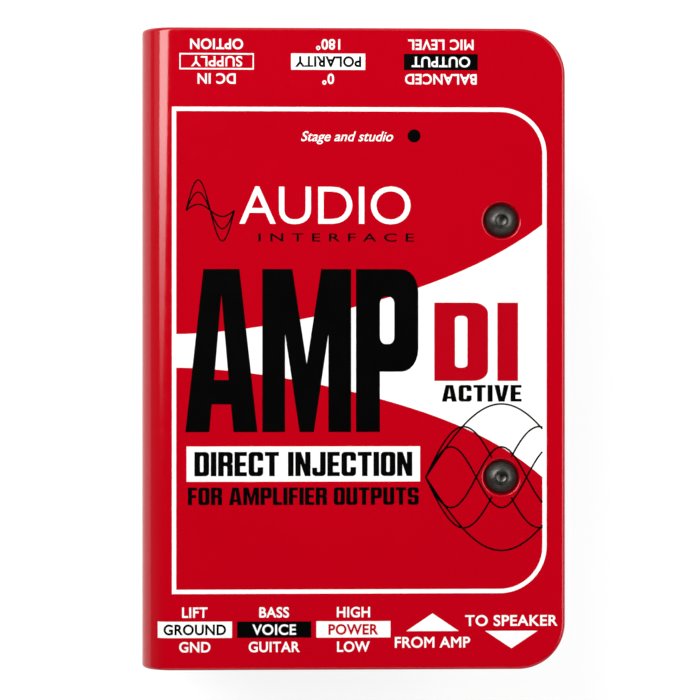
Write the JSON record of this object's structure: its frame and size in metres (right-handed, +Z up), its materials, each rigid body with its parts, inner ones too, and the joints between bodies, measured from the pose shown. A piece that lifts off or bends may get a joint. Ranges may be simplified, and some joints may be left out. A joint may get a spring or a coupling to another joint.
{
  "type": "direct injection box",
  "caption": "Direct injection box in a folded steel case, with phone jacks and push switches at one end and a balanced output, polarity switch and supply jack at the other.",
  "frame": {"origin": "middle of the base pad's underside, on the surface that the box stands on", "axes": "+Z up, +Y towards the output panel, -Y towards the jacks, +X towards the free edges of the cover's plates"},
  "size_m": [0.084, 0.127, 0.048],
  "materials": {
    "red_enamel": "glossy baked red enamel",
    "black_enamel": "satin black powder coat",
    "pad_rubber": "matt rubber sheet",
    "black_oxide": "black oxide steel",
    "zinc_steel": "bright zinc plate",
    "nickel": "nickel plate",
    "contact_silver": "silver plate",
    "black_plastic": "moulded black nylon",
    "button_plastic": "off-white moulded plastic",
    "board_laminate": "green solder mask over glass laminate",
    "can_steel": "plated screening steel",
    "lamination": "stacked laminations",
    "copper": "enamelled copper wire",
    "ferrite": "sintered ferrite",
    "cement": "fired ceramic with cement fill",
    "capacitor_sleeve": "shrink sleeve over an aluminium can",
    "film_block": "potted film block"
  },
  "bodies": {
    "box": {"outer_shell": "red_enamel", "inner_chassis": "black_enamel", "base_pad": "pad_rubber", "cover_screw_top_front": "black_oxide", "cover_screw_top_rear": "black_oxide", "cover_screw_bottom_front": "black_oxide", "cover_screw_bottom_rear": "black_oxide", "output_screw_upper": "black_oxide", "output_screw_lower": "black_oxide", "clinch_nut_top_front": "zinc_steel", "clinch_nut_top_rear": "zinc_steel", "clinch_nut_bottom_front": "zinc_steel", "clinch_nut_bottom_rear": "zinc_steel", "board_screw_front": "zinc_steel", "board_screw_rear": "zinc_steel", "amp_jack_bushing": "nickel", "amp_jack_washer": "nickel", "amp_jack_nut": "nickel", "speaker_jack_bushing": "nickel", "speaker_jack_washer": "nickel", "speaker_jack_nut": "nickel", "board_spacer_front": "nickel", "board_spacer_rear": "nickel", "output_pin_1": "contact_silver", "output_pin_2": "contact_silver", "output_pin_3": "contact_silver", "supply_jack_pin": "contact_silver", "amp_jack_body": "black_plastic", "speaker_jack_body": "black_plastic", "ground_switch_body": "black_plastic", "voicing_switch_body": "black_plastic", "power_switch_body": "black_plastic", "polarity_switch_body": "black_plastic", "output_housing": "black_plastic", "output_insert": "black_plastic", "supply_jack_body": "black_plastic", "amplifier_chip_front": "black_plastic", "amplifier_chip_rear": "black_plastic", "circuit_board": "board_laminate", "transformer_can": "can_steel", "transformer_core": "lamination", "transformer_winding": "copper", "choke_winding": "copper", "choke_core": "ferrite", "load_resistor_front": "cement", "load_resistor_rear": "cement", "supply_capacitor": "capacitor_sleeve", "coupling_capacitor_left": "capacitor_sleeve", "coupling_capacitor_right": "capacitor_sleeve", "film_capacitor_left": "film_block", "film_capacitor_right": "film_block"},
    "ground_button": {"ground_button": "button_plastic"},
    "voicing_button": {"voicing_button": "button_plastic"},
    "power_button": {"power_button": "button_plastic"},
    "polarity_button": {"polarity_button": "button_plastic"},
    "amp_jack_tip_spring": {"amp_jack_tip_spring": "contact_silver"},
    "speaker_jack_tip_spring": {"speaker_jack_tip_spring": "contact_silver"},
    "supply_jack_spring": {"supply_jack_spring": "contact_silver"}
  },
  "joints": [
    {"name": "ground_press", "type": "slide", "parent": "box", "child": "ground_button", "axis": [0, 1, 0], "range_m": [0, 0.0025], "stiffness_N_per_m": 300, "springref_m": -0.002},
    {"name": "voicing_press", "type": "slide", "parent": "box", "child": "voicing_button", "axis": [0, 1, 0], "range_m": [0, 0.0025], "stiffness_N_per_m": 300, "springref_m": -0.002},
    {"name": "power_press", "type": "slide", "parent": "box", "child": "power_button", "axis": [0, 1, 0], "range_m": [0, 0.0025], "stiffness_N_per_m": 300, "springref_m": -0.002},
    {"name": "polarity_press", "type": "slide", "parent": "box", "child": "polarity_button", "axis": [0, -1, 0], "range_m": [0, 0.0025], "stiffness_N_per_m": 300, "springref_m": -0.002},
    {"name": "amp_tip_flex", "type": "hinge", "parent": "box", "child": "amp_jack_tip_spring", "pos_m": [0.01565, -0.027, 0.0252], "axis": [-1, 0, 0], "range_deg": [0, 4], "stiffness_Nm_per_rad": 0.3, "springref_deg": -0.57},
    {"name": "speaker_tip_flex", "type": "hinge", "parent": "box", "child": "speaker_jack_tip_spring", "pos_m": [0.0313, -0.027, 0.0252], "axis": [-1, 0, 0], "range_deg": [0, 4], "stiffness_Nm_per_rad": 0.3, "springref_deg": -0.57},
    {"name": "supply_sleeve_flex", "type": "hinge", "parent": "box", "child": "supply_jack_spring", "pos_m": [-0.027, 0.0412, 0.0137], "axis": [-1, 0, 0], "range_deg": [0, 3], "stiffness_Nm_per_rad": 0.3, "springref_deg": -0.57}
  ]
}
